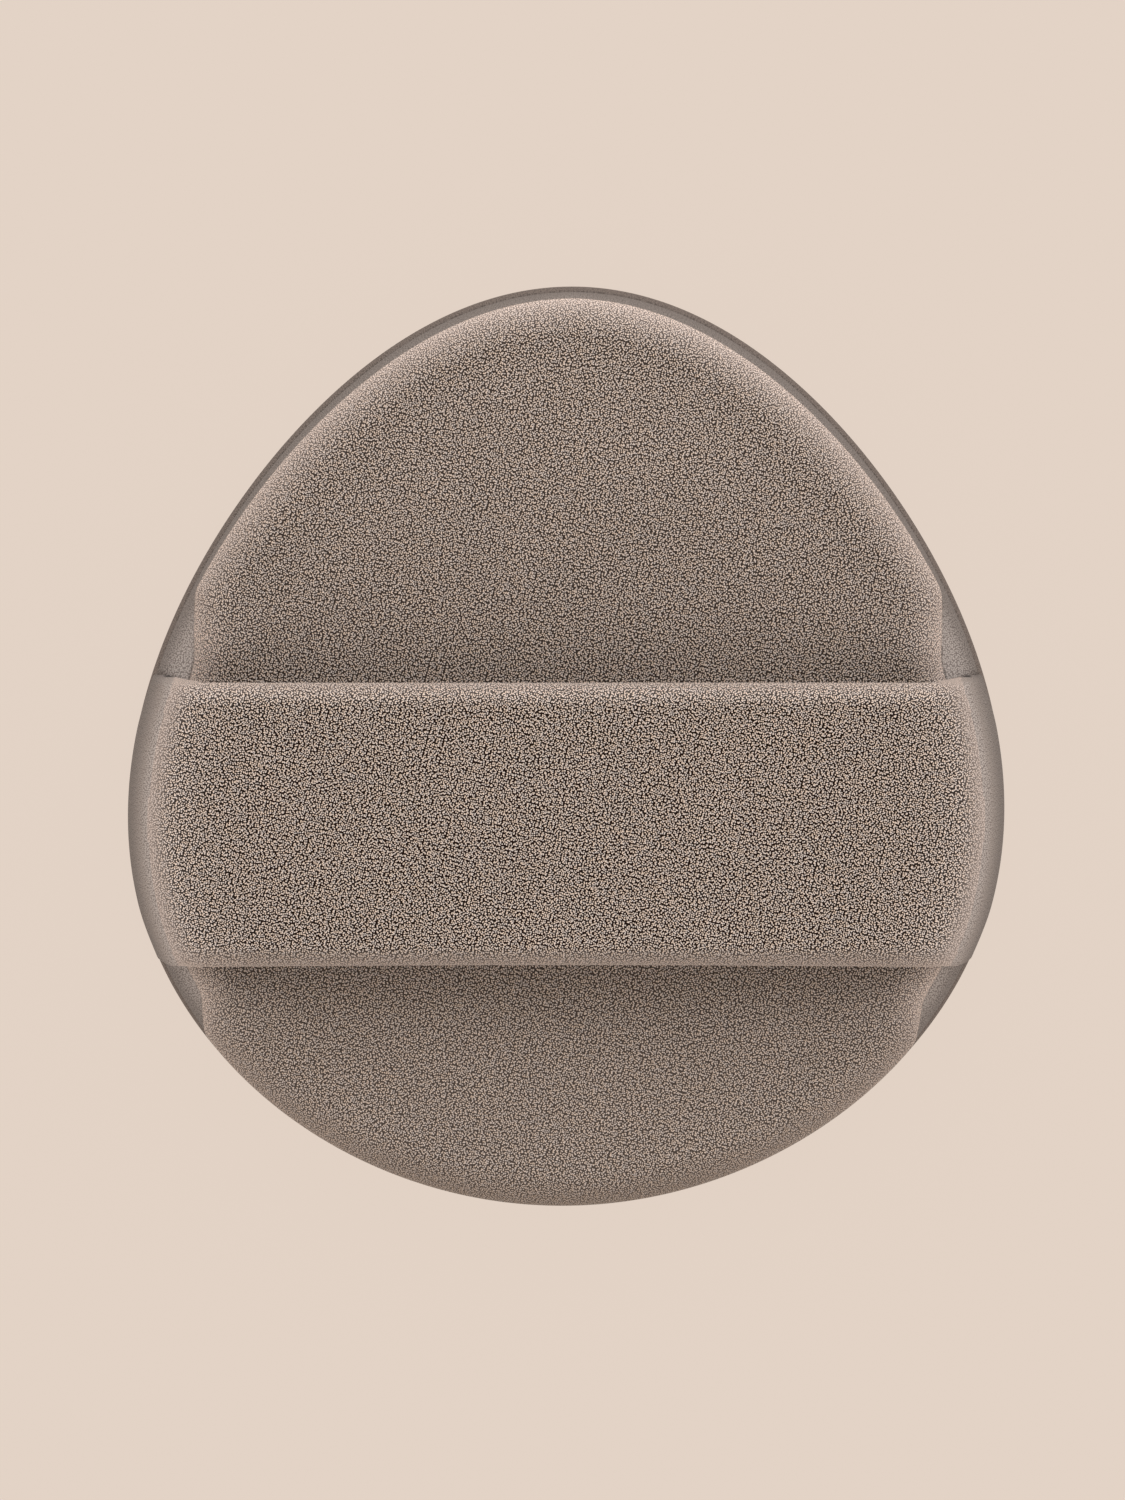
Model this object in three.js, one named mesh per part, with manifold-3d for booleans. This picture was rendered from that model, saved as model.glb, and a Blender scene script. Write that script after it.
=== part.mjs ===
// A cushion puff for pressing make-up onto the face. Two sponges lie in a velour face skin and a
// flocked back skin, which meet at a bonded rim seam. A padded strap crosses the back at the
// puff's widest line, and the fingers slide under it. Its two ends are trapped in the rim seam.
import * as THREE from "three";
import { mergeVertices } from "three/addons/utils/BufferGeometryUtils.js";
import Module from "manifold-3d";

// Frame: X across the puff, Y towards its pointed end, Z up from the face that it lies on.
// Every size is in millimetres.

// Outline, seen from above: an egg that narrows towards +Y.
const puffLength = 68; // pointed end to round end
const puffWidth = 64.8; // across the widest line
const eggNarrowing = 0.33; // share of width lost towards the pointed end
const eggRounding = 0.109; // share of width lost alike at both ends
const eggTipFullness = 0.1; // share of width given back at the very tip

// Face half: a skin with a round edge, its barrier film and a soft sponge.
const faceHeight = 5.4; // floor to the rim seam
const faceEdgeRadius = 4.2; // round edge between the face and its wall
const faceSkinThickness = 0.9; // velour on its backing
const barrierThickness = 0.25; // film that keeps make-up out of the sponge
const rimCurl = 0.3; // how far the wall leans in at the rim seam

// Rim seam, and the layer that it shares with the bond between the two sponges.
const bondThickness = 0.5; // hot-melt seam, bond web and the strap's pressed tabs
const seamInset = 0.5; // outline to the seam's outer edge
const seamWidth = 2.5; // seam's outer edge to its inner edge

// Back half: a crowned skin, the film that bonds it and a firmer sponge.
const backRise = 6.3; // rim seam to the top of the rounded shoulder
const backEdgeRadius = 3.6; // rounded shoulder
const crownRise = 0.9; // shoulder to the middle of the crown
const backSkinThickness = 0.9; // flocked velour on its backing
const backFilmThickness = 0.25; // hot-melt film under the back skin
const backInset = 0.25; // outline to the back's side
const backLean = 0.23; // extra inset at the pointed end, taken off at the round end
const panelEdge = 15; // degrees up the shoulder at which the napped panel ends and the side wall begins
const wallSweep = 60; // degrees that the side wall turns through, from upright at the flange
const flangeInset = 0.35; // outline to the flange at the foot of the back skin
const flangeHeight = 0.4; // upright edge of the flange
const tipWaistDraw = 3.2; // how far the sides are drawn in at the strap's edge towards the tip
const tipWaistLength = 6.6; // length of the drawn-in side past that edge
const heelWaistDraw = 1.5; // the same at the strap's edge towards the round end
const heelWaistLength = 5.6;
const waistEase = 0.1; // share of the draw by which the end of the drawn-in side is rounded off

// Strap.
const strapWidth = 20.9; // along Y
const strapCentre = -5.05; // middle of the strap along Y, close to the widest line
const fingerGap = 4.6; // crown to the underside of the strap's ends
const strapArch = 0.6; // rise of the strap's middle over its ends
const strapSkinThickness = 0.75; // flocked skin, turned round both long edges
const strapSpongeThickness = 1.1; // padding inside the strap
const liningThickness = 0.6; // tape that closes the underside
const hemWidth = 3; // skin turned under at each long edge
const shoulderRadius = 3; // outer bend from the strap's top to its flank
const flankLean = 11.2; // degrees that the flank leans in below that bend
const heelRadius = 1.8; // outer bend from the flank to the tab
const heelThickness = 1.2; // strap end above the tab, where its padding runs out
const tabReach = 6; // length of the tab from the outline inwards
const shoulderLand = 0.3; // flat top left on a strap end past its bend

// Clearances.
const layerGap = 0.1; // between bonded layers
const cutGap = 0.3; // round a piece that another one is cut for

// Facets.
const aroundSteps = 52;
const edgeSteps = 5;
const crownSteps = 3;
const wallSteps = 3;
const flankSteps = 4;
const strapSteps = 10;
const hemSteps = 4;

// Heights and thicknesses that follow from the sizes above.
const faceRound = Math.min(faceEdgeRadius, faceHeight - layerGap);
const seamFloor = faceHeight + layerGap;
const backFoot = seamFloor + bondThickness + layerGap;
const backRound = Math.min(backEdgeRadius, backRise - flangeHeight - layerGap);
const backBulge = backFoot + backRise - backRound;
const panelTurn = THREE.MathUtils.degToRad(panelEdge);
const wallLow = backFoot + flangeHeight;
const wallTop = backBulge + backRound * Math.sin(panelTurn);
const crownTurn = Math.PI / 2 - Math.atan((2 * crownRise) / (puffWidth / 2 - backRound));
const crownTop = backBulge + backRound * Math.sin(crownTurn) + crownRise;
const strapThickness = 2 * strapSkinThickness + strapSpongeThickness + 2 * layerGap;
const strapTop = crownTop + fingerGap + strapThickness;
const shoulderBend = Math.max(shoulderRadius, strapThickness + layerGap);
const flankTurn = THREE.MathUtils.degToRad(flankLean);
const flankLow = seamFloor + heelRadius;
const flankHigh = strapTop - shoulderBend * (1 - Math.sin(flankTurn));
const flankInset = ((flankHigh - flankLow) * Math.tan(flankTurn)) / 2;
const bendInset = flankInset + shoulderBend * Math.cos(flankTurn);
const legInset = bendInset + shoulderLand;
const spanInset = legInset + cutGap;
const notchDepth = heelThickness + 2 * cutGap;

const wasm = await Module();
wasm.setup();

// Width of the egg at parameter t, as a share of its girth at mid-length. Y is the sine of t.
function eggShare(t) {
  const s = Math.sin(t);
  return Math.cos(t) * Math.sqrt(1 - eggNarrowing * s - eggRounding * s * s + eggTipFullness * s ** 3);
}

const outlineSamples = 720;
const widestShare = Math.max(
  ...Array.from({ length: outlineSamples }, (_, i) => eggShare((i / outlineSamples) * 2 * Math.PI)),
);

// Point of the outline at parameter t, which runs anticlockwise from +X.
function outlinePoint(t) {
  const x = ((puffWidth / 2) * eggShare(t)) / widestShare;
  return new THREE.Vector2(x, (puffLength / 2) * Math.sin(t));
}

// Point that lies a given inset inside the outline, square to it.
function insetPoint(t, inset) {
  const step = 1e-4;
  const along = outlinePoint(t + step).sub(outlinePoint(t - step)).normalize();
  return outlinePoint(t).add(new THREE.Vector2(-along.y, along.x).multiplyScalar(inset));
}

// Half the outline's width at a place along Y.
function halfWidthAt(y) {
  return outlinePoint(Math.asin((2 * y) / puffLength)).x;
}

// Inset of the back's side: a little more at the pointed end, and drawn in beside the strap. The
// side runs straight back out towards the tip, and in a curve towards the round end.
function backSide(t) {
  const y = outlinePoint(t).y - strapCentre;
  const towardsTip = THREE.MathUtils.smoothstep(y, -strapWidth / 2, -strapWidth / 4);
  const draw = THREE.MathUtils.lerp(heelWaistDraw, tipWaistDraw, towardsTip);
  const past = Math.max(0, Math.abs(y) - strapWidth / 2);
  const left = y > 0 ? 1 - past / tipWaistLength : 1 - (past / heelWaistLength) ** 2;
  const drawn = (left + Math.hypot(left, waistEase)) / 2;
  return backInset + backLean * Math.sin(t) + draw * drawn;
}

// A closed ring: the outline drawn in by inset(t), shrunk to a share of its size, at one height.
function ring(inset, height, share = 1) {
  return Array.from({ length: aroundSteps }, (_, i) => {
    const t = (i / aroundSteps) * 2 * Math.PI;
    const p = insetPoint(t, inset(t)).multiplyScalar(share);
    return new THREE.Vector3(p.x, p.y, height);
  });
}

// Signed volume inside a closed set of triangles.
function signedVolume(points, triangles) {
  const cross = new THREE.Vector3();
  return triangles.reduce(
    (sum, [a, b, c]) => sum + cross.crossVectors(points[b], points[c]).dot(points[a]) / 6,
    0,
  );
}

// A closed geometry from points and triangles, with its faces turned to point out.
function closedGeometry(points, triangles) {
  const outward = signedVolume(points, triangles) > 0;
  const index = triangles.flatMap(([a, b, c]) => (outward ? [a, b, c] : [a, c, b]));
  const geometry = new THREE.BufferGeometry().setFromPoints(points);
  geometry.setIndex(index);
  geometry.computeVertexNormals();
  return geometry;
}

// Two triangles across the four corners of a patch, given in order round it.
function patch(a, b, c, d) {
  return [
    [a, b, c],
    [a, c, d],
  ];
}

// A closed solid through a stack of rings, with a pole on the axis at each end.
function solidOfRings(firstHeight, rings, lastHeight) {
  const points = [new THREE.Vector3(0, 0, firstHeight), ...rings.flat(), new THREE.Vector3(0, 0, lastHeight)];
  const last = points.length - 1;
  const at = (level, i) => 1 + level * aroundSteps + (i % aroundSteps);
  const triangles = [];
  for (let i = 0; i < aroundSteps; i++) {
    triangles.push([0, at(0, i + 1), at(0, i)]);
    for (let level = 0; level < rings.length - 1; level++) {
      triangles.push(...patch(at(level, i), at(level, i + 1), at(level + 1, i + 1), at(level + 1, i)));
    }
    triangles.push([at(rings.length - 1, i), at(rings.length - 1, i + 1), last]);
  }
  return closedGeometry(points, triangles);
}

// A closed solid between two sheets of points, outer[k][j] and inner[k][j], with walls round them.
function solidOfSheets(outer, inner) {
  const rows = outer.length;
  const columns = outer[0].length;
  const points = [...outer.flat(), ...inner.flat()];
  const top = (k, j) => k * columns + j;
  const under = (k, j) => rows * columns + k * columns + j;
  const triangles = [];
  for (let k = 0; k < rows - 1; k++) {
    for (let j = 0; j < columns - 1; j++) {
      triangles.push(...patch(top(k, j), top(k, j + 1), top(k + 1, j + 1), top(k + 1, j)));
      triangles.push(...patch(under(k, j), under(k + 1, j), under(k + 1, j + 1), under(k, j + 1)));
    }
    triangles.push(...patch(top(k, 0), top(k + 1, 0), under(k + 1, 0), under(k, 0)));
    const j = columns - 1;
    triangles.push(...patch(top(k, j), under(k, j), under(k + 1, j), top(k + 1, j)));
  }
  for (let j = 0; j < columns - 1; j++) {
    const k = rows - 1;
    triangles.push(...patch(top(0, j), under(0, j), under(0, j + 1), top(0, j + 1)));
    triangles.push(...patch(top(k, j), top(k, j + 1), under(k, j + 1), under(k, j)));
  }
  return closedGeometry(points, triangles);
}

function toManifold(geometry) {
  const bare = geometry.clone();
  bare.deleteAttribute("normal");
  bare.deleteAttribute("uv");
  const merged = mergeVertices(bare);
  return new wasm.Manifold(
    new wasm.Mesh({
      numProp: 3,
      vertProperties: merged.attributes.position.array,
      triVerts: new Uint32Array(merged.index.array),
    }),
  );
}

// A geometry with each of the cutters taken out of it.
function cutBy(geometry, cutters) {
  const made = cutters.reduce((body, cutter) => body.subtract(toManifold(cutter)), toManifold(geometry));
  const mesh = made.getMesh();
  const cut = new THREE.BufferGeometry();
  cut.setAttribute("position", new THREE.BufferAttribute(mesh.vertProperties, mesh.numProp));
  cut.setIndex(new THREE.BufferAttribute(mesh.triVerts, 1));
  cut.computeVertexNormals();
  return cut;
}

// Room for the strap's end at one side: from a depth inside the outline to well outside it.
function strapEndRoom(side, depth, bottom, top) {
  const reach = puffWidth / 2 + depth;
  const half = strapWidth / 2 + cutGap;
  const shares = Array.from({ length: strapSteps + 1 }, (_, i) => (2 * i) / strapSteps - 1);
  const ys = shares.map((share) => strapCentre + share * half);
  const inside = ys.map((y) => new THREE.Vector2(side * (halfWidthAt(y) - depth), y));
  const outside = [new THREE.Vector2(side * reach, ys.at(-1)), new THREE.Vector2(side * reach, ys[0])];
  const room = new THREE.ExtrudeGeometry(new THREE.Shape([...inside, ...outside]), {
    depth: top - bottom,
    bevelEnabled: false,
  });
  return room.translate(0, 0, bottom);
}

const bothSides = [-1, 1];

// Rings up the face half, from the flat face to the rim, for a surface at a depth under its skin.
function faceRings(depth) {
  const radius = faceRound - depth;
  const rings = [];
  for (let i = 0; i <= edgeSteps; i++) {
    const turn = (1 - i / edgeSteps) * (Math.PI / 2);
    const inset = faceRound - radius * Math.cos(turn);
    rings.push(ring(() => inset, faceRound - radius * Math.sin(turn)));
  }
  rings.push(ring(() => depth + rimCurl, faceHeight));
  return rings;
}

// A lining of the face half between two depths, open at the rim.
function faceLayer(outerDepth, innerDepth) {
  return solidOfRings(outerDepth, [...faceRings(outerDepth), ...faceRings(innerDepth).reverse()], innerDepth);
}

// Rings over the back's shoulder and crown, for a surface at a depth under its skin.
function shoulderRings(depth, firstTurn = 0) {
  const radius = backRound - depth;
  const rings = [];
  for (let i = 0; i <= edgeSteps; i++) {
    const turn = THREE.MathUtils.lerp(firstTurn, crownTurn, i / edgeSteps);
    const inset = (t) => backSide(t) + backRound - radius * Math.cos(turn);
    rings.push(ring(inset, backBulge + radius * Math.sin(turn)));
  }
  const rim = (t) => backSide(t) + backRound - radius * Math.cos(crownTurn);
  for (let i = 1; i < crownSteps; i++) {
    const share = 1 - i / crownSteps;
    const rise = crownRise * (1 - share * share);
    rings.push(ring(rim, backBulge + radius * Math.sin(crownTurn) + rise, share));
  }
  return rings;
}

// Height of the crown's middle, for a surface at a depth under the back skin.
function crownAt(depth) {
  return backBulge + (backRound - depth) * Math.sin(crownTurn) + crownRise;
}

// Rings up the whole back, from its foot at the rim seam.
function backRings(depth) {
  return [ring((t) => backSide(t) + depth, backFoot), ...shoulderRings(depth)];
}

// Rings up the flange and the side wall, which curves in to the edge of the napped panel.
function wallRings() {
  const sweep = THREE.MathUtils.degToRad(wallSweep);
  const edge = (t) => backSide(t) + backRound * (1 - Math.cos(panelTurn));
  const rings = [ring(() => flangeInset, backFoot)];
  for (let i = 0; i < wallSteps; i++) {
    const turn = (i / wallSteps) * sweep;
    const share = (1 - Math.cos(turn)) / (1 - Math.cos(sweep));
    const height = THREE.MathUtils.lerp(wallLow, wallTop, Math.sin(turn) / Math.sin(sweep));
    rings.push(ring((t) => THREE.MathUtils.lerp(flangeInset, edge(t), share), height));
  }
  return rings;
}

function makeBackSkin() {
  const inside = backRings(backSkinThickness).reverse();
  const rings = [...inside, ...wallRings(), ...shoulderRings(0, panelTurn)];
  const skin = solidOfRings(crownAt(backSkinThickness), rings, crownTop);
  const notches = bothSides.map((side) => strapEndRoom(side, notchDepth, backFoot - cutGap, wallTop));
  return cutBy(skin, notches);
}

function makeBackFilm() {
  const outerDepth = backSkinThickness + layerGap;
  const innerDepth = outerDepth + backFilmThickness;
  const rings = [...backRings(innerDepth).reverse(), ...backRings(outerDepth)];
  return solidOfRings(crownAt(innerDepth), rings, crownAt(outerDepth));
}

function makeBackSponge() {
  const depth = backSkinThickness + backFilmThickness + 2 * layerGap;
  return solidOfRings(backFoot, backRings(depth), crownAt(depth));
}

function makeFaceSponge() {
  const depth = faceSkinThickness + barrierThickness + 2 * layerGap;
  return solidOfRings(depth, faceRings(depth), faceHeight);
}

// The web that bonds the two sponges, inside the seam and cut back round the strap's tabs.
function makeBondWeb() {
  const inset = () => seamInset + seamWidth + cutGap;
  const top = seamFloor + bondThickness;
  const web = solidOfRings(seamFloor, [ring(inset, seamFloor), ring(inset, top)], top);
  const depth = tabReach + cutGap;
  return cutBy(
    web,
    bothSides.map((side) => strapEndRoom(side, depth, seamFloor - cutGap, top + cutGap)),
  );
}

// Parameter at which the seam's inner edge reaches a place along Y, on the +X side.
function seamAngleAt(y) {
  let low = -Math.PI / 2;
  let high = Math.PI / 2;
  const halvings = 40;
  for (let i = 0; i < halvings; i++) {
    const middle = (low + high) / 2;
    if (insetPoint(middle, seamInset + seamWidth).y < y) low = middle;
    else high = middle;
  }
  return low;
}

// One stretch of the rim seam, from parameter start to end, between the strap's two ends.
function makeRimSeam(start, end) {
  const steps = Math.ceil((aroundSteps * (end - start)) / (2 * Math.PI));
  const edges = [seamInset, seamInset + seamWidth];
  const sheet = (height) =>
    Array.from({ length: steps + 1 }, (_, i) =>
      edges.map((inset) => {
        const p = insetPoint(start + ((end - start) * i) / steps, inset);
        return new THREE.Vector3(p.x, p.y, height);
      }),
    );
  return solidOfSheets(sheet(seamFloor + bondThickness), sheet(seamFloor));
}

// Places along Y over the strap's flat width, between its rounded edges.
const strapEdge = strapThickness / 2;
const strapFlat = strapWidth / 2 - strapEdge;
const flatYs = Array.from({ length: strapSteps + 1 }, (_, i) => strapFlat * ((2 * i) / strapSteps - 1));

// The strap's cross-section at a depth under its outer face, from one hem's edge over the top to
// the other's: pairs of a place along Y and a depth, as solidOfSheets takes them.
function strapContour(depth) {
  const radius = strapEdge - depth;
  const turns = Array.from({ length: 2 * hemSteps + 1 }, (_, i) => (i / (2 * hemSteps)) * Math.PI);
  const round = turns.map((turn) => [radius * Math.sin(turn), strapEdge + radius * Math.cos(turn)]);
  const hem = [strapWidth / 2 - hemWidth, strapThickness - depth];
  const left = round.map(([out, down]) => [-strapFlat - out, down]);
  const right = round.map(([out, down]) => [strapFlat + out, down]).reverse();
  const across = flatYs.slice(1, -1).map((y) => [y, depth]);
  return [[-hem[0], hem[1]], ...left, ...across, ...right, hem];
}

// How far a rounded edge of a given radius has dropped at a place along Y, as a share of it.
function edgeDrop(y, radius) {
  const past = Math.max(0, Math.abs(y) - strapFlat) / radius;
  return 1 - Math.sqrt(1 - past * past);
}

// Places along Y over the whole strap, closer together over its rounded edges.
function roundedYs(margin) {
  const out = (i) => strapFlat + (strapEdge - margin) * Math.sin((i / hemSteps) * (Math.PI / 2));
  const right = Array.from({ length: hemSteps }, (_, i) => out(i + 1));
  return [...right.map((y) => -y).reverse(), ...flatYs, ...right];
}

// A point on the strap's lifting span: a share of the way out from the middle, at y and a depth.
function spanPoint(share, y, depth) {
  const x = share * (halfWidthAt(strapCentre + y) - spanInset);
  const height = strapTop + strapArch * (1 - share * share) - depth;
  return new THREE.Vector3(x, strapCentre + y, height);
}

// One layer of the strap's span, between an outer and an inner contour.
function spanLayer(outer, inner) {
  const shares = Array.from({ length: strapSteps + 1 }, (_, i) => (2 * i) / strapSteps - 1);
  const sheet = (contour) => shares.map((share) => contour.map(([y, depth]) => spanPoint(share, y, depth)));
  return solidOfSheets(sheet(outer), sheet(inner));
}

function makeStrapSkin() {
  return spanLayer(strapContour(0), strapContour(strapSkinThickness));
}

function makeStrapSponge() {
  const top = strapSkinThickness + layerGap;
  const radius = strapEdge - top;
  const rail = roundedYs(top + layerGap).map((y) => [y, top + radius * edgeDrop(y, radius)]);
  return spanLayer(rail, rail.map(([y, depth]) => [y, strapThickness - depth]));
}

function makeStrapLining() {
  const half = strapWidth / 2 - hemWidth - layerGap;
  const ys = flatYs.map((y) => (y / strapFlat) * half);
  const outer = ys.map((y) => [y, strapThickness - liningThickness]);
  const inner = ys.map((y) => [y, strapThickness]);
  return spanLayer(outer, inner);
}

// The outer face of a strap end, from its tab in the seam up to the span. Turn is the way in from
// that face: up at the tab, inwards at the flank and down at the top.
function strapEndStations() {
  const quarter = Math.PI / 2;
  const stations = [{ inset: tabReach, height: seamFloor, turn: quarter, thickness: bondThickness }];
  for (let i = 0; i <= edgeSteps; i++) {
    const turn = (1 - i / edgeSteps) * quarter;
    stations.push({
      inset: heelRadius * (1 - Math.cos(turn)),
      height: flankLow - heelRadius * Math.sin(turn),
      turn,
      thickness: THREE.MathUtils.lerp(bondThickness, heelThickness, i / edgeSteps),
    });
  }
  for (let i = 1; i < flankSteps; i++) {
    const share = i / flankSteps;
    stations.push({
      inset: flankInset * share * share,
      height: THREE.MathUtils.lerp(flankLow, flankHigh, share),
      turn: -flankTurn * share,
      thickness: THREE.MathUtils.lerp(heelThickness, strapThickness, share),
    });
  }
  for (let i = 0; i <= edgeSteps; i++) {
    const turn = THREE.MathUtils.lerp(-flankTurn, -quarter, i / edgeSteps);
    stations.push({
      inset: bendInset - shoulderBend * Math.cos(turn),
      height: strapTop - shoulderBend * (1 + Math.sin(turn)),
      turn,
      thickness: strapThickness,
    });
  }
  stations.push({ inset: legInset, height: strapTop, turn: -quarter, thickness: strapThickness });
  return stations;
}

// One flexing end of the strap, with its layers pressed together down to the tab.
function makeStrapEnd(side) {
  const ys = roundedYs(layerGap);
  const place = (station, y, share) => {
    const depth = share * station.thickness;
    const inset = station.inset + depth * Math.cos(station.turn);
    const x = side * (halfWidthAt(strapCentre + y) - inset);
    return new THREE.Vector3(x, strapCentre + y, station.height + depth * Math.sin(station.turn));
  };
  const stations = strapEndStations();
  const outerShare = (y) => edgeDrop(y, strapEdge) / 2;
  const outer = stations.map((station) => ys.map((y) => place(station, y, outerShare(y))));
  const inner = stations.map((station) => ys.map((y) => place(station, y, 1 - outerShare(y))));
  return solidOfSheets(outer, inner);
}

// Materials, from the photographed colours of the two skins and the usual colours inside a puff.
const soft = (color, roughness = 0.95) => new THREE.MeshStandardMaterial({ color, roughness, metalness: 0 });
const backVelour = soft(0x897a70);
const faceVelour = soft(0x84766f);
const liningTape = soft(0x7d6f66, 0.9);
const faceFoam = soft(0xe9dfd2);
const backFoam = soft(0xd8cbbd);
const clearFilm = soft(0xcfc8c0, 0.35);
const hotMelt = soft(0x9a8c80, 0.5);

const puff = new THREE.Group();
const pad = new THREE.Group();
const strap = new THREE.Group();
puff.add(pad, strap);

function add(group, name, geometry, material) {
  const mesh = new THREE.Mesh(geometry, material);
  mesh.name = name;
  group.add(mesh);
}

const filmDepth = faceSkinThickness + layerGap;
const seamStart = seamAngleAt(strapCentre + strapWidth / 2 + cutGap);
const seamStop = seamAngleAt(strapCentre - strapWidth / 2 - cutGap);

add(pad, "face_skin", faceLayer(0, faceSkinThickness), faceVelour);
add(pad, "face_barrier_film", faceLayer(filmDepth, filmDepth + barrierThickness), clearFilm);
add(pad, "face_sponge", makeFaceSponge(), faceFoam);
add(pad, "core_bond_web", makeBondWeb(), hotMelt);
add(pad, "rim_seam_tip", makeRimSeam(seamStart, Math.PI - seamStart), hotMelt);
add(pad, "rim_seam_heel", makeRimSeam(-Math.PI - seamStop, seamStop), hotMelt);
add(pad, "back_sponge", makeBackSponge(), backFoam);
add(pad, "back_bond_film", makeBackFilm(), clearFilm);
add(pad, "back_skin", makeBackSkin(), backVelour);
add(pad, "strap_end_left", makeStrapEnd(-1), backVelour);
add(pad, "strap_end_right", makeStrapEnd(1), backVelour);
add(strap, "strap_skin", makeStrapSkin(), backVelour);
add(strap, "strap_sponge", makeStrapSponge(), backFoam);
add(strap, "strap_lining", makeStrapLining(), liningTape);

export default puff;
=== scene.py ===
from math import asin, atan, cos, pi, radians, remainder, sin, tan
import bpy
import numpy as np
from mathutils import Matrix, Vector, kdtree, noise


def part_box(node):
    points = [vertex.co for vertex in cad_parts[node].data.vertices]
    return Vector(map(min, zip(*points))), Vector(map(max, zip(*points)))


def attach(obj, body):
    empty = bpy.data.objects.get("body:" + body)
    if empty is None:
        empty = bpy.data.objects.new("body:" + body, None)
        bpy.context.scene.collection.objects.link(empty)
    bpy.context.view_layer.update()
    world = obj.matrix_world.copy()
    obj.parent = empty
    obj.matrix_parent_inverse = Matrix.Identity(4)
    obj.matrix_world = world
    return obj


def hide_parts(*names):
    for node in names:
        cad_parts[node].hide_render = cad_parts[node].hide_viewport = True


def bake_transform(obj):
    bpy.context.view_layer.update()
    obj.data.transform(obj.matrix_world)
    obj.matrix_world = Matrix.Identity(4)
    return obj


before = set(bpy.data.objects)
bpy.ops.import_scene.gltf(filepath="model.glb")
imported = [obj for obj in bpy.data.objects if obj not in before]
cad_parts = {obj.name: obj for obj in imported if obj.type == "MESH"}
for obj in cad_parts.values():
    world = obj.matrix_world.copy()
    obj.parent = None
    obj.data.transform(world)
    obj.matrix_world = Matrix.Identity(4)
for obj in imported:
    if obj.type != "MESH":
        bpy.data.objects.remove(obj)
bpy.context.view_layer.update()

scene = bpy.context.scene
mm = 0.001

# Outline, an egg with its pointed end at +Y
puffOutline = {
    "narrowing": 0.3275,  # share of width lost towards the pointed end
    "rounding": 0.0945,  # lost alike at both ends
    "tipFullness": 0.0875,  # given back at the very tip
    "lean": 0.011,  # soft: the tip stands 0.4 mm to one side, the round end to the other
}
faceLow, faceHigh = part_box("face_skin")
halfLength = (faceHigh.y - faceLow.y) / 2
halfWidth = (faceHigh.x - faceLow.x) / 2


def eggShare(t):
    s = np.sin(t)
    loss = puffOutline["narrowing"] * s + puffOutline["rounding"] * s ** 2
    return np.cos(t) * np.sqrt(1 - loss + puffOutline["tipFullness"] * s ** 3)


widestShare = eggShare(np.linspace(-np.pi / 2, np.pi / 2, 721)).max()


def outlinePoint(t):
    return np.stack([halfWidth * eggShare(t) / widestShare, halfLength * np.sin(t)], axis=-1)


def insetPoint(t, inset):  # square to the outline; the inset may change with t
    step = 1e-4
    along = outlinePoint(t + step) - outlinePoint(t - step)
    along /= np.linalg.norm(along, axis=-1, keepdims=True)
    inward = np.stack([-along[..., 1], along[..., 0]], axis=-1)
    return outlinePoint(t) + inward * np.broadcast_to(inset, np.shape(t))[..., None]


def halfWidthAt(y):
    t = np.arcsin(np.clip(y / halfLength, -1, 1))
    return halfWidth * eggShare(t) / widestShare


def insetOf(points):  # how far inside the outline, nearly square to it
    slope = 0.1 * mm
    y = np.clip(points[:, 1], -halfLength + 2 * slope, halfLength - 2 * slope)
    lean = (halfWidthAt(y + slope) - halfWidthAt(y - slope)) / (2 * slope)
    return (halfWidthAt(y) - np.abs(points[:, 0])) / np.sqrt(1 + lean ** 2)


def smooth(x, low, high):
    s = np.clip((x - low) / (high - low), 0, 1)
    return s * s * (3 - 2 * s)


def between(ends, share):
    return ends[0] + (ends[1] - ends[0]) * share


def unevenness(points, size, seed):  # smooth lumps, from -1 to 1
    shift = Vector((seed * 7.3, seed * 3.1, seed * 5.7))
    return np.array([noise.noise(Vector(p) / size + shift) for p in points])


# Closed bodies on a disc grid, which has no pole to pinch
def gridCells(index):  # quads of a grid of point numbers
    return np.stack([index[:-1, :-1], index[1:, :-1], index[1:, 1:], index[:-1, 1:]], axis=-1).reshape(-1, 4)


def gridLoop(index):  # its outer points, in order
    return np.concatenate([index[:-1, 0], index[-1, :-1], index[:0:-1, -1], index[0, :0:-1]])


def discGrid(cells):
    u, v = np.meshgrid(np.linspace(-1, 1, cells + 1), np.linspace(-1, 1, cells + 1), indexing="ij")
    x = (u * np.sqrt(1 - v * v / 2)).ravel()
    y = (v * np.sqrt(1 - u * u / 2)).ravel()
    index = np.arange((cells + 1) ** 2).reshape(cells + 1, cells + 1)
    angle, edge = np.arctan2(y, x), gridLoop(index)
    return {"share": np.hypot(x, y), "angle": angle, "quads": gridCells(index), "edge": edge, "round": angle[edge]}


fineGrid = discGrid(128)  # skins, which show
coarseGrid = discGrid(40)  # layers inside


def ring(t, inset, height):
    xy = insetPoint(t, inset(t))
    return np.column_stack([xy, np.full(len(xy), height)])


def disc(grid, inset, height):  # fills a ring; height follows the share from middle to edge
    xy = insetPoint(grid["angle"], inset(grid["angle"])) * grid["share"][:, None]
    return np.column_stack([xy, height(grid["share"])])


def level(value):  # the same inset or height all over
    return lambda t: np.full(np.shape(t), value)


def bandFaces(first, second):  # quads between two loops of point numbers
    return np.stack([first, second, np.roll(second, -1), np.roll(first, -1)], axis=-1)


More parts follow.
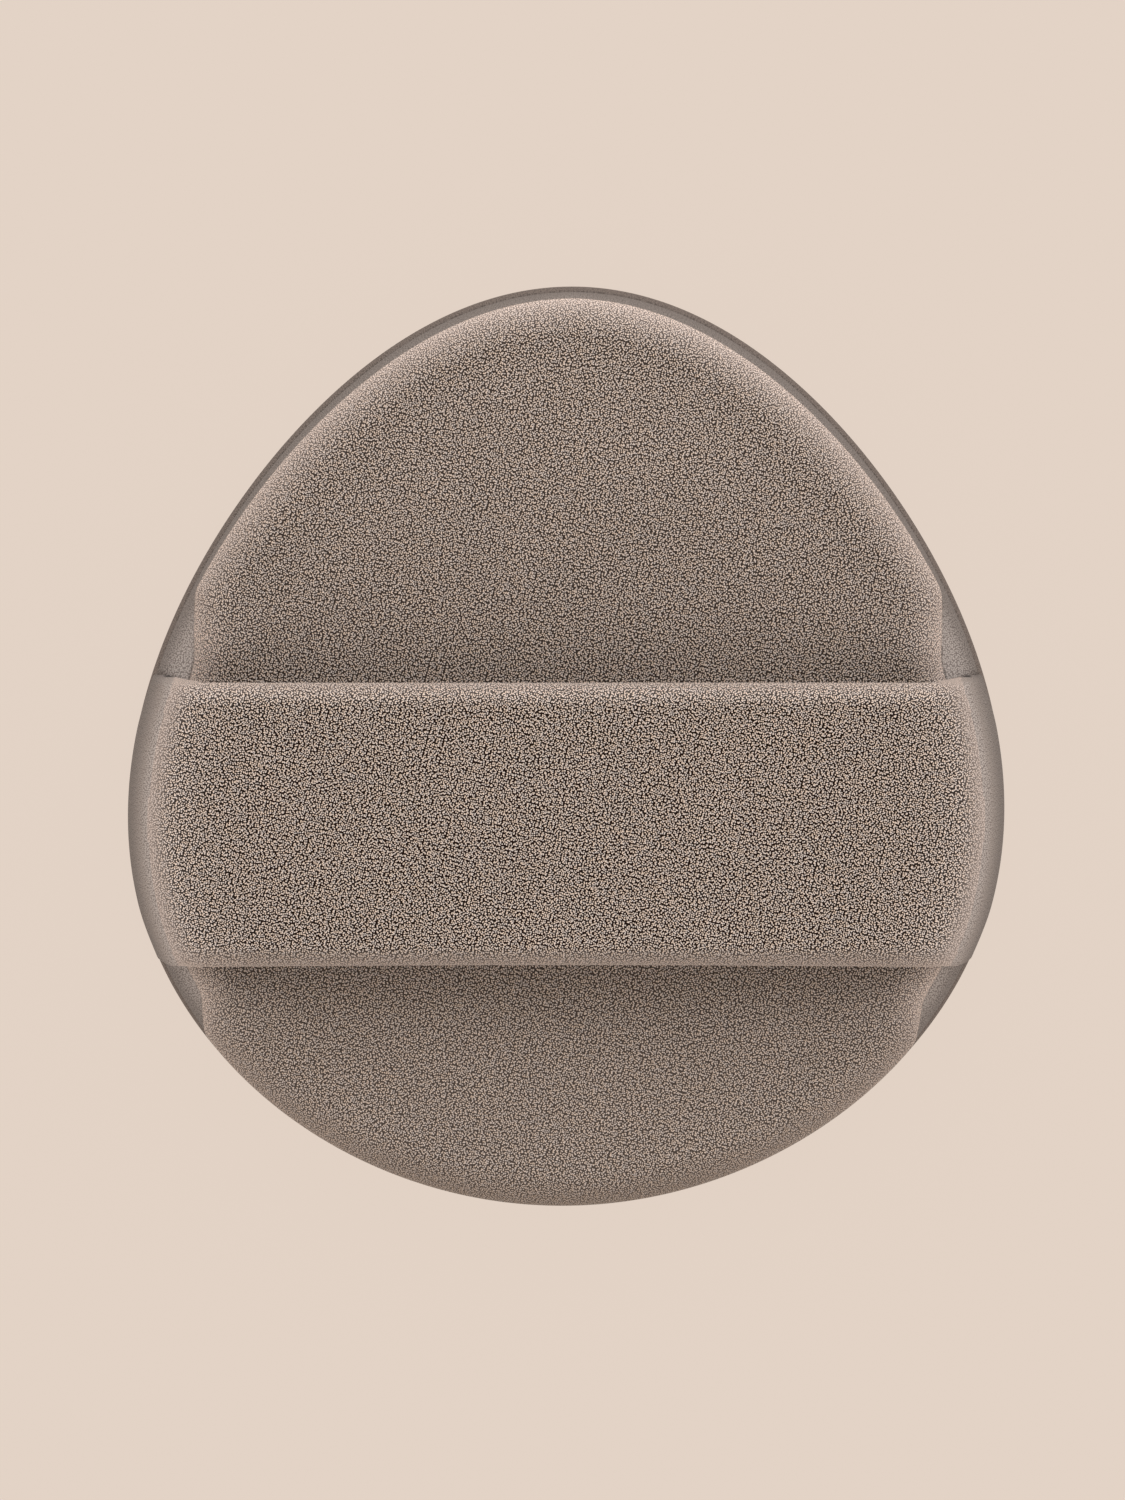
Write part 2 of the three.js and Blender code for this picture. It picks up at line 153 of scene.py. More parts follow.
def sideFaces(grid, start, ringCount):  # faces of a disc and the rings that follow it
    turns = len(grid["edge"])
    first = start + len(grid["share"])
    loops = [start + grid["edge"]] + [first + k * turns + np.arange(turns) for k in range(ringCount)]
    bands = [bandFaces(a, b) for a, b in zip(loops, loops[1:])]
    return np.concatenate([start + grid["quads"], *bands]), loops[-1]


def addObject(name, data):
    made = bpy.data.objects.new(name, data)
    scene.collection.objects.link(made)
    return made


def meshObject(name, points, faces=(), edges=()):
    mesh = bpy.data.meshes.new(name)
    mesh.from_pydata(points.tolist(), edges, np.asarray(faces).tolist())
    mesh.polygons.foreach_set("use_smooth", np.ones(len(mesh.polygons), bool))
    mesh.update()
    return addObject(name, mesh)


def closedBody(grid, name, upper, lower):  # each side is a disc and rings out to the rim
    upperPoints = np.concatenate([upper[0], *upper[1]])
    lowerPoints = np.concatenate([lower[0], *lower[1]])
    upperFaces, upperRim = sideFaces(grid, 0, len(upper[1]))
    lowerFaces, lowerRim = sideFaces(grid, len(upperPoints), len(lower[1]))
    faces = np.concatenate([upperFaces, lowerFaces[:, ::-1], bandFaces(upperRim, lowerRim)])
    return meshObject(name, np.concatenate([upperPoints, lowerPoints]), faces)


def vectorsOf(items, field):
    flat = np.empty(len(items) * 3)
    items.foreach_get(field, flat)
    return flat.reshape(-1, 3)


def pointsOf(piece):
    return vectorsOf(piece.data.vertices, "co")


def normalsOf(piece):
    return vectorsOf(piece.data.vertex_normals, "vector")


def movePoints(piece, points):
    piece.data.vertices.foreach_set("co", points.ravel())
    piece.data.update()


def leanOver(piece):  # the last change to a piece's shape
    points = pointsOf(piece)
    points[:, 0] += puffOutline["lean"] * points[:, 1]
    movePoints(piece, points)


def addPointValues(piece, **pointValues):  # one number or one place a point
    for key, values in pointValues.items():
        values = np.asarray(values, np.float32)
        kind, field = ("FLOAT_VECTOR", "vector") if values.ndim > 1 else ("FLOAT", "value")
        piece.data.attributes.new(key, kind, "POINT").data.foreach_set(field, values.ravel())


def unrolled(grid, middle, rings):  # where a disc and its rings lie in the flat cloth, for the nap
    t = grid["round"]
    outward = (insetPoint(t, 0) - insetPoint(t, mm)) / mm
    places, last = [middle[:, :2]], middle[grid["edge"]]
    reach = last[:, :2]
    for nextRing in rings:
        reach = reach + outward * np.linalg.norm(nextRing - last, axis=1)[:, None]
        last = nextRing
        places.append(reach)
    flat = np.concatenate(places)
    return np.column_stack([flat, np.zeros(len(flat))])


# Materials
def linear(hexColour):
    parts = [int(hexColour[i:i + 2], 16) / 255 for i in (1, 3, 5)]
    return [p / 12.92 if p <= 0.04045 else ((p + 0.055) / 1.055) ** 2.4 for p in parts] + [1]


def fillSockets(tree, node, **given):  # by name or number, with a link, a value or a hex colour
    for key, value in given.items():
        socket = node.inputs[int(key[1:])] if key[1:].isdigit() else node.inputs[key.replace("_", " ")]
        if isinstance(value, bpy.types.NodeSocket):
            tree.links.new(value, socket)
        else:
            socket.default_value = linear(value) if isinstance(value, str) else value


def addNode(tree, kind, settings=None, **given):
    node = tree.nodes.new(kind)
    for key, value in (settings or {}).items():
        setattr(node, key, value)
    fillSockets(tree, node, **given)
    return node


def nodeOut(tree, kind, settings=None, **given):  # a new node's first output
    return addNode(tree, kind, settings, **given).outputs[0]


def newMaterial(name):
    material = bpy.data.materials.new(name)
    material.use_nodes = True
    tree = material.node_tree
    tree.nodes.clear()
    shader = addNode(tree, "ShaderNodeBsdfPrincipled")
    addNode(tree, "ShaderNodeOutputMaterial", Surface=shader.outputs[0])
    return material, tree, shader


def objectPlace(tree):
    return addNode(tree, "ShaderNodeTexCoord").outputs["Object"]


def pointValue(tree, key, field="Fac"):  # what the mesh keeps at each point
    return addNode(tree, "ShaderNodeAttribute", {"attribute_name": key}).outputs[field]


def mixColours(tree, share, first, second, **settings):
    settings["data_type"] = "RGBA"
    return addNode(tree, "ShaderNodeMix", settings, Factor=share, _6=first, _7=second).outputs[2]


def calculate(tree, operation, first, second):
    return nodeOut(tree, "ShaderNodeMath", {"operation": operation}, _0=first, _1=second)


def bumped(tree, height, distance, strength=1.0):
    return nodeOut(tree, "ShaderNodeBump", Height=height, Distance=distance, Strength=strength)


def mapped(tree, value, start=(0, 1), end=(0, 1), clamp=True):
    return nodeOut(tree, "ShaderNodeMapRange", {"clamp": clamp}, Value=value, From_Min=start[0], From_Max=start[1],
                   To_Min=end[0], To_Max=end[1])


def tuftPattern(tree, place, s):  # each tuft's middle, edge and own chance colour
    return addNode(tree, "ShaderNodeTexVoronoi", {"voronoi_dimensions": "2D"}, Vector=place, Scale=1 / s["tuft"],
                   Randomness=s["scatter"]).outputs


flockedVelour = {
    "tuft": 0.148 * mm,  # real fibres are 0.02 mm thick; drawn as tufts, so that they show in the render
    "scatter": 0.9,  # how freely tufts stand off their rows: 0 in rows, 1 at random
    "rowTurn": 0.27,  # rows stand off the frame's own
    "tuftEdge": (0.38, 0.33),  # where a tuft meets the gap round it
    "fullness": (0.85, 1.15),  # thinner and fuller tufts
    "mottle": 5 * mm, "mottleTone": (0.95, 1.05),
    "gap": "#1c0e05",  # dark between the tufts
    "warmTip": "#e6cbb4", "coolTip": "#d8cac1",  # light fibre ends
    "mean": "#8a7b71",  # where nap lies flat and the gaps close
    "lit": "#8f8580", "litShare": (0.6, 1.6),  # greyer painted light where edges are lit, in gaps and on tufts
    "tuftHeight": 0.04 * mm, "relief": 0.6,
    "roughness": (0.85, 1.0), "ior": 1.5, "specular": 0.1,
    "sheen": "#f2e6dc", "sheenWeight": 0.35, "sheenRoughness": 0.45,
}


def flockedVelourMaterial():  # polyester flock on a knit: deep matt nap, speckled, with painted light from the glow attribute on its edges
    s = flockedVelour
    material, tree, shader = newMaterial("flockedVelour")
    nap, glow, cloth = pointValue(tree, "nap"), pointValue(tree, "glow"), pointValue(tree, "cloth", "Vector")
    tufts = tuftPattern(tree, nodeOut(tree, "ShaderNodeMapping", Vector=cloth, Rotation=(0, 0, s["rowTurn"])), s)
    standing = mapped(tree, tufts["Distance"], s["tuftEdge"])
    chance = addNode(tree, "ShaderNodeSeparateColor", Color=tufts["Color"]).outputs
    tips = mixColours(tree, chance["Red"], s["coolTip"], s["warmTip"])
    tuftLight = calculate(tree, "MULTIPLY", standing, mapped(tree, chance["Green"], end=s["fullness"]))
    speckle = mixColours(tree, tuftLight, s["gap"], tips, clamp_factor=False)
    lying = mixColours(tree, nap, s["mean"], speckle)
    mottle = addNode(tree, "ShaderNodeTexNoise", Vector=objectPlace(tree), Scale=1 / s["mottle"], Detail=2.0)
    uneven = mapped(tree, mottle.outputs["Fac"], end=s["mottleTone"])
    base = mixColours(tree, 1.0, lying, uneven, blend_type="MULTIPLY")
    # painted light: the glow attribute adds the greyer lit colour, more on tufts
    paintedGlow = calculate(tree, "MULTIPLY", glow, mapped(tree, tuftLight, end=s["litShare"], clamp=False))
    colour = nodeOut(tree, "ShaderNodeVectorMath", {"operation": "MULTIPLY_ADD"},
                     _0=linear(s["lit"])[:3], _1=paintedGlow, _2=base)
    bump = bumped(tree, calculate(tree, "MULTIPLY", standing, nap), s["tuftHeight"], s["relief"])
    rough = mapped(tree, tufts["Distance"], end=s["roughness"])
    fillSockets(tree, shader, Base_Color=colour, Roughness=rough, Normal=bump, IOR=s["ior"],
                Specular_IOR_Level=s["specular"], Sheen_Weight=s["sheenWeight"],
                Sheen_Roughness=s["sheenRoughness"], Sheen_Tint=s["sheen"])
    return material


shortPile = {
    "tuft": 0.15 * mm, "scatter": 0.8,  # drawn coarser than it is, to show
    "tuftEdge": (0.55, 0.25), "pileHeight": 0.01 * mm,
    "roughness": (0.8, 0.95), "specular": 0.1, "sheenWeight": 0.05,
}


def smoothVelourMaterial(name, dark, light):  # short or heat-pressed polyester pile: smooth, matt, greyer than nap; painted shade and light from the point values darken or lighten it
    s = shortPile
    material, tree, shader = newMaterial(name)
    tufts = tuftPattern(tree, pointValue(tree, "cloth", "Vector"), s)
    pile = mapped(tree, tufts["Distance"], s["tuftEdge"])
    speckle = mixColours(tree, pile, dark, light)
    # painted shade and light: colour times the painted shading at each point
    colour = mixColours(tree, 1.0, speckle, pointValue(tree, "tone"), blend_type="MULTIPLY")
    bump = bumped(tree, pile, s["pileHeight"])
    rough = mapped(tree, pile, end=s["roughness"])
    fillSockets(tree, shader, Base_Color=colour, Roughness=rough, Normal=bump,
                Specular_IOR_Level=s["specular"], Sheen_Weight=s["sheenWeight"])
    return material


wovenTape = {
    "rib": 0.5 * mm, "ribHeight": 0.05 * mm, "threads": 2,  # threads along the band to a rib across it
    "uneven": {"Distortion": 0.3, "Detail": 1.0, "Detail_Scale": 2.0},
    "dark": "#665a52", "light": "#8d7f75", "roughness": 0.85, "specular": 0.2,
}


def wovenTapeMaterial():  # polyester tape: ribs across the band, fine threads along it, matt
    s = wovenTape
    material, tree, shader = newMaterial("wovenTape")
    cloth = pointValue(tree, "cloth", "Vector")
    perMetre = pi / 10 / s["rib"]  # wave scale that gives one band a rib
    waves = [addNode(tree, "ShaderNodeTexWave", {"bands_direction": axis}, Vector=cloth, Scale=scale, **s["uneven"])
             for axis, scale in (("X", perMetre), ("Y", perMetre * s["threads"]))]
    weave = calculate(tree, "MULTIPLY", *(wave.outputs["Fac"] for wave in waves))
    colour = mixColours(tree, weave, s["dark"], s["light"])
    bump = bumped(tree, weave, s["ribHeight"])
    fillSockets(tree, shader, Base_Color=colour, Normal=bump, Roughness=s["roughness"],
                Specular_IOR_Level=s["specular"])
    return material


openCell = {"wallEdge": (0.15, 0.5), "depth": 1 / 3, "roughness": 0.95}  # depth is a share of the pore's size


def spongeMaterial(name, pore, wallColour, poreColour):  # open-cell polyurethane: pale walls round darker pores, dull
    material, tree, shader = newMaterial(name)
    cells = addNode(tree, "ShaderNodeTexVoronoi", Vector=objectPlace(tree), Scale=1 / pore).outputs["Distance"]
    wall = mapped(tree, cells, openCell["wallEdge"])
    colour = mixColours(tree, wall, poreColour, wallColour)
    bump = bumped(tree, wall, pore * openCell["depth"])
    fillSockets(tree, shader, Base_Color=colour, Normal=bump, Roughness=openCell["roughness"])
    return material


flowHeight = 0.04 * mm


def meltedMaterial(name, ripple, dark, light, roughness):  # thermoplastic melted flat: faint flow marks, low gloss
    material, tree, shader = newMaterial(name)
    flow = addNode(tree, "ShaderNodeTexNoise", Vector=objectPlace(tree), Scale=1 / ripple, Detail=3.0).outputs["Fac"]
    colour = mixColours(tree, flow, dark, light)
    bump = bumped(tree, flow, flowHeight)
    fillSockets(tree, shader, Base_Color=colour, Normal=bump, Roughness=roughness)
    return material


flocked = flockedVelourMaterial()
velour = smoothVelourMaterial("closeVelour", "#665c55", "#8d8078")
pressed = smoothVelourMaterial("pressedVelour", "#746b66", "#a99f98")
tape = wovenTapeMaterial()
softSponge = spongeMaterial("softSponge", 0.5 * mm, "#e9dfd2", "#c9bba9")
firmSponge = spongeMaterial("firmSponge", 0.35 * mm, "#d8cbbd", "#b3a392")
clearFilm = meltedMaterial("barrierFilm", 2 * mm, "#c8c0b7", "#d6d0c9", 0.35)
hotMelt = meltedMaterial("hotMelt", 0.8 * mm, "#6f625a", "#8a7c72", 0.6)
print("materials made")

# Pad
layers = {
    "faceSkin": 0.9 * mm, "barrierFilm": 0.25 * mm, "backSkin": 0.9 * mm, "backFilm": 0.25 * mm,
    "gap": 0.1 * mm,  # kept between bonded layers
    "skinRings": 8, "rings": 6,  # round the edge, inside the skins and on the layers under them
}
backPad = {
    "edgeRadius": 3.6 * mm, "crownRise": 0.9 * mm, "inset": 0.33 * mm, "lean": 0.23 * mm,
    "edgeTurn": 15, "groove": 0.12 * mm,  # where the napped panel ends on the shoulder, and its step
    "grooveLeft": 0.1, "grooveSpan": (0.5 * mm, 5 * mm),  # share of the step beside the strap, and where it grows
    "flangeInset": 0.35 * mm, "flangeHeight": 0.4 * mm, "wallTurn": 60,  # side wall: upright at the seam, flatter above
    # sides drawn in beside the strap: how far, up to a corner this far past it, and where that ends
    "tipDraw": 2.3 * mm, "tipCorner": 2.0 * mm, "tipLength": 6.6 * mm,
    "heelDraw": 1.5 * mm, "heelCorner": 3.85 * mm, "heelLength": 6.1 * mm,
    "heelSway": 0.06,  # it reaches further on the right
    "drawEase": 0.05, "cornerEase": 0.08,  # rounding at its end and its corner
    "cheek": 0.3 * mm, "cheekSway": 0.25,  # sides of the pointed end stand in a little, more on the right
    "notch": 2 * mm, "notchRoom": 0.05 * mm, "notchStep": 0.02 * mm,  # side wall cut back where a strap end passes
    "slitRoom": 0.3 * mm, "paintedSlitShade": 0.1,  # the cut opens to a slit, its wall painted dark as shade
    "slitStart": 0.2, "slitReach": 0.6,  # from this share of the wall, over this share
    "shoulderRings": 26, "wallRings": 18,
    "lump": 9 * mm, "lumpHeight": 0.1 * mm, "ripple": 2.4 * mm, "rippleHeight": 0.025 * mm,
    "still": 1.2 * mm,  # no lumps under this height on the shoulder
}
strapLow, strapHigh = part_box("strap_skin")
strapHalf = (strapHigh.y - strapLow.y) / 2
strapCentre = (strapHigh.y + strapLow.y) / 2
faceTop = faceHigh.z
backFoot, crownTop = (corner.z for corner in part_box("back_skin"))
edgeTurn = radians(backPad["edgeTurn"])
crownTurn = pi / 2 - atan(2 * backPad["crownRise"] / (halfWidth - backPad["edgeRadius"]))
backBulge = crownTop - backPad["crownRise"] - backPad["edgeRadius"] * sin(crownTurn)
panelFoot = backBulge + backPad["edgeRadius"] * sin(edgeTurn)  # napped panel's edge


def pastEdge(y):  # distance along Y past the strap's nearer edge
    return np.abs(y - strapCentre) - strapHalf


def pastStrap(t):
    return pastEdge(outlinePoint(t)[..., 1])


def backSide(t):  # how far the pad's side stands inside the outline
    s = backPad
    y = outlinePoint(t)[..., 1] - strapCentre
    right = np.sign(np.cos(t))
    draw = between((s["heelDraw"], s["tipDraw"]), smooth(y, -strapHalf, -strapHalf / 2))
    past = np.clip(pastStrap(t), 0, None)
    heelPast = past / (1 + s["heelSway"] * right)
    closing = np.where(y > 0, (s["tipLength"] - past) / (s["tipLength"] - s["tipCorner"]),
                       (s["heelLength"] - heelPast) / (s["heelLength"] - s["heelCorner"]))
    capped = (1 + closing - np.sqrt((1 - closing) ** 2 + 4 * s["cornerEase"] ** 2)) / 2
    drawn = (capped + np.sqrt(capped ** 2 + s["drawEase"] ** 2)) / 2
    cheek = s["cheek"] * np.clip(np.sin(t), 0, None) ** 2 * np.abs(np.cos(t)) * (1 + s["cheekSway"] * right)
    return s["inset"] + s["lean"] * np.sin(t) + cheek + draw * drawn


def backSurface(grid, depth, shoulderRings, lastTurn=0):  # crown and shoulder at a depth under the back skin
    radius = backPad["edgeRadius"] - depth
    top = backBulge + radius * sin(crownTurn)
    over = lambda turn: lambda t: backSide(t) + backPad["edgeRadius"] - radius * cos(turn)
    crown = disc(grid, over(crownTurn), lambda share: top + backPad["crownRise"] * (1 - share ** 2))
    turns = np.linspace(crownTurn, lastTurn, shoulderRings + 1)[1:]
    return crown, [ring(grid["round"], over(turn), backBulge + radius * sin(turn)) for turn in turns]


def footRing(grid, depth):
    return ring(grid["round"], lambda t: backSide(t) + depth, backFoot)


def notchedRound(t, gap):  # sets two points of a ring astride each end of a strap end's cut
    t = t.copy()
    fullTurn = 2 * pi
    for tip in (1, -1):
        edge = strapCentre + tip * (strapHalf + gap)
        rightPair = [asin((edge + step * backPad["notchStep"]) / halfLength) for step in (-1, 1)]
        rightEdge = asin((strapCentre + tip * strapHalf) / halfLength)
        leftPair = [pi - angle for angle in reversed(rightPair)]
        for pair, middle in ((rightPair, rightEdge), (leftPair, pi - rightEdge)):
            before = np.argmin((remainder(middle, fullTurn) - t) % fullTurn)
            t[before], t[(before + 1) % len(t)] = (remainder(angle, fullTurn) for angle in pair)
    return t


def wallRings(grid):  # step under the napped panel, side wall, flange and foot; and what is cut back
    s = backPad
    wallTurn = radians(s["wallTurn"])
    wallLow = backFoot + s["flangeHeight"]
    panelDrop = s["edgeRadius"] * (1 - cos(edgeTurn))
    step = lambda t: s["groove"] * between((s["grooveLeft"], 1), smooth(pastStrap(t), *s["grooveSpan"]))
    rings, cuts = [], []
    for k in range(s["wallRings"] + 1):
        down = wallTurn * (1 - k / s["wallRings"])
        share = (1 - cos(down)) / (1 - cos(wallTurn))
        opening = sin(pi * min(max((share - s["slitStart"]) / s["slitReach"], 0), 1)) ** 2
        gap = s["notchRoom"] + s["slitRoom"] * opening
        edge = lambda t: np.where(pastStrap(t) < gap, s["notch"], s["flangeInset"])
        out = lambda t: between((edge(t), backSide(t) + panelDrop + step(t)), share)
        t = notchedRound(grid["round"], gap)
        rings.append(ring(t, out, wallLow + (panelFoot - wallLow) * sin(down) / sin(wallTurn)))
        cuts.append((pastStrap(t) < gap) & (opening > 0.01))
    return rings + [ring(t, edge, backFoot)], np.concatenate(cuts + cuts[-1:])


# Cloth over a sponge, swollen by simulation on a coarse copy that moves the fine mesh
swelling = {
    "cells": 32, "rings": 10,
    "enlarge": 10,  # the solver's stiffness suits furniture, so the copy is larger
    "pressure": 0.7, "frames": 20, "cap": 0.5 * mm,
    "start": 0.3 * mm,  # the panel's middle starts this much lower
    "heldFrom": 2,  # rings from here out stay, to keep the panel's line
    "reach": 4 * mm, "near": 16,  # how far a coarse point's move carries, and how many a fine point takes
}


def swell(points, faces, held):  # how far each point moves as the sponge presses out
    s = swelling
    copy = meshObject("swellingCopy", points * s["enlarge"], faces)
    copy.vertex_groups.new(name="held").add(held.tolist(), 1.0, "REPLACE")
    cloth = copy.modifiers.new("cloth", "CLOTH").settings
    cloth.vertex_group_mass = "held"
    cloth.use_pressure = True
    cloth.uniform_pressure_force = s["pressure"]
    cloth.effector_weights.gravity = 0
    for frameNumber in range(1, s["frames"] + 1):
        scene.frame_set(frameNumber)
    ready = copy.evaluated_get(bpy.context.evaluated_depsgraph_get())
    moves = pointsOf(ready) / s["enlarge"] - points
    bpy.data.objects.remove(copy)
    scene.frame_set(1)
    far = np.linalg.norm(moves, axis=1, keepdims=True)
    return moves * np.minimum(1, s["cap"] / np.maximum(far, 1e-9))


def carried(moves, coarse, fine):  # a fine point takes the mean move of coarse ones round it, nearer ones more
    tree = kdtree.KDTree(len(coarse))
    for k, point in enumerate(coarse):
        tree.insert(point, k)
    tree.balance()
    result = np.zeros_like(fine)
    for k, point in enumerate(fine):
        near = tree.find_n(point, swelling["near"])
        weights = np.clip(1 - (np.array([n[2] for n in near]) / swelling["reach"]) ** 2, 1e-6, None) ** 2
        result[k] = weights @ moves[[n[1] for n in near]] / weights.sum()
    return result


# Nap stands on level cloth and lies over where cloth turns down; light is painted on edges by the way they face, most
# on those facing the tip
napLook = {
    "lieStart": 12, "lieEnd": 65, "lieLeft": 0.75,  # tilt in degrees, and the share of speckle left there
    "lightTilt": 75, "lightCurve": 1.9,
    "facing": (-1, -0.6, 0, 1),  # edges that face the heel, half-way to it, the side and the tip, and their painted light
    "padLight": (-0.22, 0.48, 0.74, 1.7), "strapLight": (0.4, 0.5, 0.6, 0.45),
    "leftShade": 0.2,  # painted edge light on the pad is weaker where it faces left
    "waistLight": 0.42, "waistSpan": (2 * mm, 7 * mm),  # more painted light where drawn in beside the strap
    # painted light in the corners beside the strap's ends
    "cornerLight": 0.3, "cornerSpan": (0, 3 * mm), "cornerReach": 6 * mm,
    "roundEndSpeckle": (0.74, 0.86), "roundEndSpan": (-24 * mm, 4 * mm),  # less speckle towards the round end
}


def napTilt(normals):
    return np.degrees(np.arccos(np.clip(np.abs(normals[:, 2]), 0, 1)))


def napSpeckle(normals):
    return 1 - (1 - napLook["lieLeft"]) * smooth(napTilt(normals), napLook["lieStart"], napLook["lieEnd"])


# share of painted edge light, by tilt
def tiltLightShare(normals):
    return np.clip(napTilt(normals) / napLook["lightTilt"], 0, 1) ** napLook["lightCurve"]


def facing(normals):  # which way a slope faces, from above
    return normals[:, :2] / np.maximum(np.hypot(normals[:, 0], normals[:, 1]), 1e-6)[:, None]


# light painted on a slope by the way it faces and how far it tilts
def paintedEdgeLight(normals, edgeLight):
    return np.interp(facing(normals)[:, 1], napLook["facing"], edgeLight) * tiltLightShare(normals)


wallLook = {
    "low": 0.76, "tipMore": 0.03, "tipSpan": 1 * mm,  # painted shade at the seam, a little lighter on the tip's half
    "inMore": 0.3, "inSpan": (0.2 * mm, 1.6 * mm),  # painted lighter inwards from the outline
    "edgeShade": 0.42, "edgeSpan": (-0.3 * mm, -0.05 * mm), "edgePast": (3 * mm, 6 * mm),  # painted shadow under the panel's edge
    "levelMore": 0.42, "levelTilt": (25, 70),  # painted lighter where it lies level, by the tilt in degrees
}


def paintedWallShading(points, normals):  # painted shading of a pressed side wall: dark at the seam and under the panel's edge, lighter where it lies flatter
    s = wallLook
    tipward = smooth(points[:, 1] - strapCentre, -s["tipSpan"], s["tipSpan"])
    low = s["low"] + s["tipMore"] * tipward + s["inMore"] * smooth(insetOf(points), *s["inSpan"])
    under = smooth(points[:, 2] - panelFoot, *s["edgeSpan"])
    low *= 1 - s["edgeShade"] * under * smooth(pastEdge(points[:, 1]), *s["edgePast"])
    return low * (1 + s["levelMore"] * (1 - smooth(napTilt(normals), *s["levelTilt"])))


def finishSkin(skin, points, smoothFace):  # napped, apart from its smooth faces
    movePoints(skin, points)
    skin.data.materials.append(flocked)
    skin.data.materials.append(pressed)
    skin.data.polygons.foreach_set("material_index", np.array(smoothFace, np.int32))
    return skin


def swollenPanel():  # the napped panel of the back, held at its edge
    s = swelling
    crown, shoulder = backSurface(fineGrid, 0, backPad["shoulderRings"], edgeTurn)
    crown[:, 2] -= s["start"] * (1 - fineGrid["share"] ** 2)
    grid = discGrid(s["cells"])
    middle, rings = backSurface(grid, 0, s["rings"], edgeTurn)
    middle[:, 2] -= s["start"] * (1 - grid["share"] ** 2)
    coarse = np.concatenate([middle, *rings])
    held = np.arange(len(middle) + s["heldFrom"] * len(grid["round"]), len(coarse))
    moves = swell(coarse, sideFaces(grid, 0, s["rings"])[0], held)
    print("panel swollen, mm, most", round(np.linalg.norm(moves, axis=1).max() / mm, 3))
    free = len(shoulder) * s["heldFrom"] // s["rings"]
    fine = np.concatenate([crown, *shoulder[:free]])
    ringEase = np.repeat(1 - smooth(np.arange(free), 0, free), len(fineGrid["round"]))
    ease = np.concatenate([np.ones(len(crown)), ringEase])
    fine += carried(moves, coarse, fine) * ease[:, None]
    return fine[:len(crown)], np.split(fine[len(crown):], free) + shoulder[free:]


def makeBackSkin():
    s = backPad
    turns = len(fineGrid["round"])
    crown, shoulder = swollenPanel()
    walls, cut = wallRings(fineGrid)
    outer = (crown, shoulder + walls)
    innerCrown, innerShoulder = backSurface(fineGrid, layers["backSkin"], layers["skinRings"])
    inner = (innerCrown, innerShoulder + [footRing(fineGrid, layers["backSkin"])])
    skin = closedBody(fineGrid, "backSkin", outer, inner)
    nappedPoints = len(crown) + len(shoulder) * turns
    nappedFaces = len(fineGrid["quads"]) + len(shoulder) * turns
    points, normals = pointsOf(skin), normalsOf(skin)
    napped = np.arange(len(points)) < nappedPoints
    roundEndSpeckle = between(napLook["roundEndSpeckle"], smooth(points[:, 1], *napLook["roundEndSpan"]))
    past = pastEdge(points[:, 1])
    beside = 1 - smooth(past, *napLook["waistSpan"])
    inward = 1 - smooth(insetOf(points) - s["tipDraw"], 0, napLook["cornerReach"])
    corner = beside * smooth(past, *napLook["cornerSpan"]) * inward
    # painted light on the panel's edges by the way they face, beside the strap and in its corners, weaker on the left
    glow = paintedEdgeLight(normals, napLook["padLight"]) + napLook["waistLight"] * beside * tiltLightShare(normals)
    glow *= 1 - napLook["leftShade"] * np.clip(-facing(normals)[:, 0], 0, 1)
    glow += napLook["cornerLight"] * corner
    cloth = np.concatenate([unrolled(fineGrid, *outer), unrolled(fineGrid, *inner)])
    # painted shade and light on the side wall
    tone = paintedWallShading(points, normals)
    # painted shade inside the slit
    tone[nappedPoints:nappedPoints + len(cut)][cut] *= s["paintedSlitShade"]
    addPointValues(skin, nap=napSpeckle(normals) * roundEndSpeckle * napped, glow=glow, tone=tone, cloth=cloth)
    free = smooth(points[:, 2], backBulge + s["still"], backBulge + s["edgeRadius"]) * napped
    lift = unevenness(points, s["lump"], 1) * s["lumpHeight"]
    lift += unevenness(points, s["ripple"], 2) * s["rippleHeight"]
    smoothFace = np.arange(len(skin.data.polygons)) >= nappedFaces
    return finishSkin(skin, points + normals * (lift * free)[:, None], smoothFace)


backSkin = makeBackSkin()
leanOver(backSkin)
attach(backSkin, "pad")
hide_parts("back_skin")
print("back skin made", len(backSkin.data.polygons))

facePad = {"edgeRadius": 4.2 * mm, "rimCurl": 0.3 * mm, "edgeRings": 22, "wallRings": 4}


def faceSurface(grid, depth, edgeRings):  # flat face, rounded edge and wall at a depth inside the face skin
    s = facePad
    radius = s["edgeRadius"] - depth
    flat = disc(grid, level(s["edgeRadius"]), level(depth))
    rings = []
    for k in range(1, edgeRings + 1):
        turn = pi / 2 * (1 - k / edgeRings)
        over, height = s["edgeRadius"] - radius * cos(turn), s["edgeRadius"] - radius * sin(turn)
        rings.append(ring(grid["round"], level(over), height))
    for k in range(1, s["wallRings"] + 1):
        up = k / s["wallRings"]
        over, height = depth + s["rimCurl"] * up * up, s["edgeRadius"] + (faceTop - s["edgeRadius"]) * up
        rings.append(ring(grid["round"], level(over), height))
    return flat, rings


faceSides = [faceSurface(fineGrid, depth, rings)
             for depth, rings in ((layers["faceSkin"], layers["skinRings"]), (0, facePad["edgeRings"]))]
faceSkin = closedBody(fineGrid, "faceSkin", *faceSides)
addPointValues(faceSkin, tone=np.ones(len(faceSkin.data.vertices)),
               cloth=np.concatenate([unrolled(fineGrid, *side) for side in faceSides]))
faceSkin.data.materials.append(velour)
leanOver(faceSkin)
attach(faceSkin, "pad")
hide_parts("face_skin")
print("face skin made", len(faceSkin.data.polygons))

# Layers inside the pad
webInset = {"rim": 3.3 * mm, "tab": 6.3 * mm, "tabSpan": (0.4 * mm, 2 * mm)}  # further in where a strap end is sewn


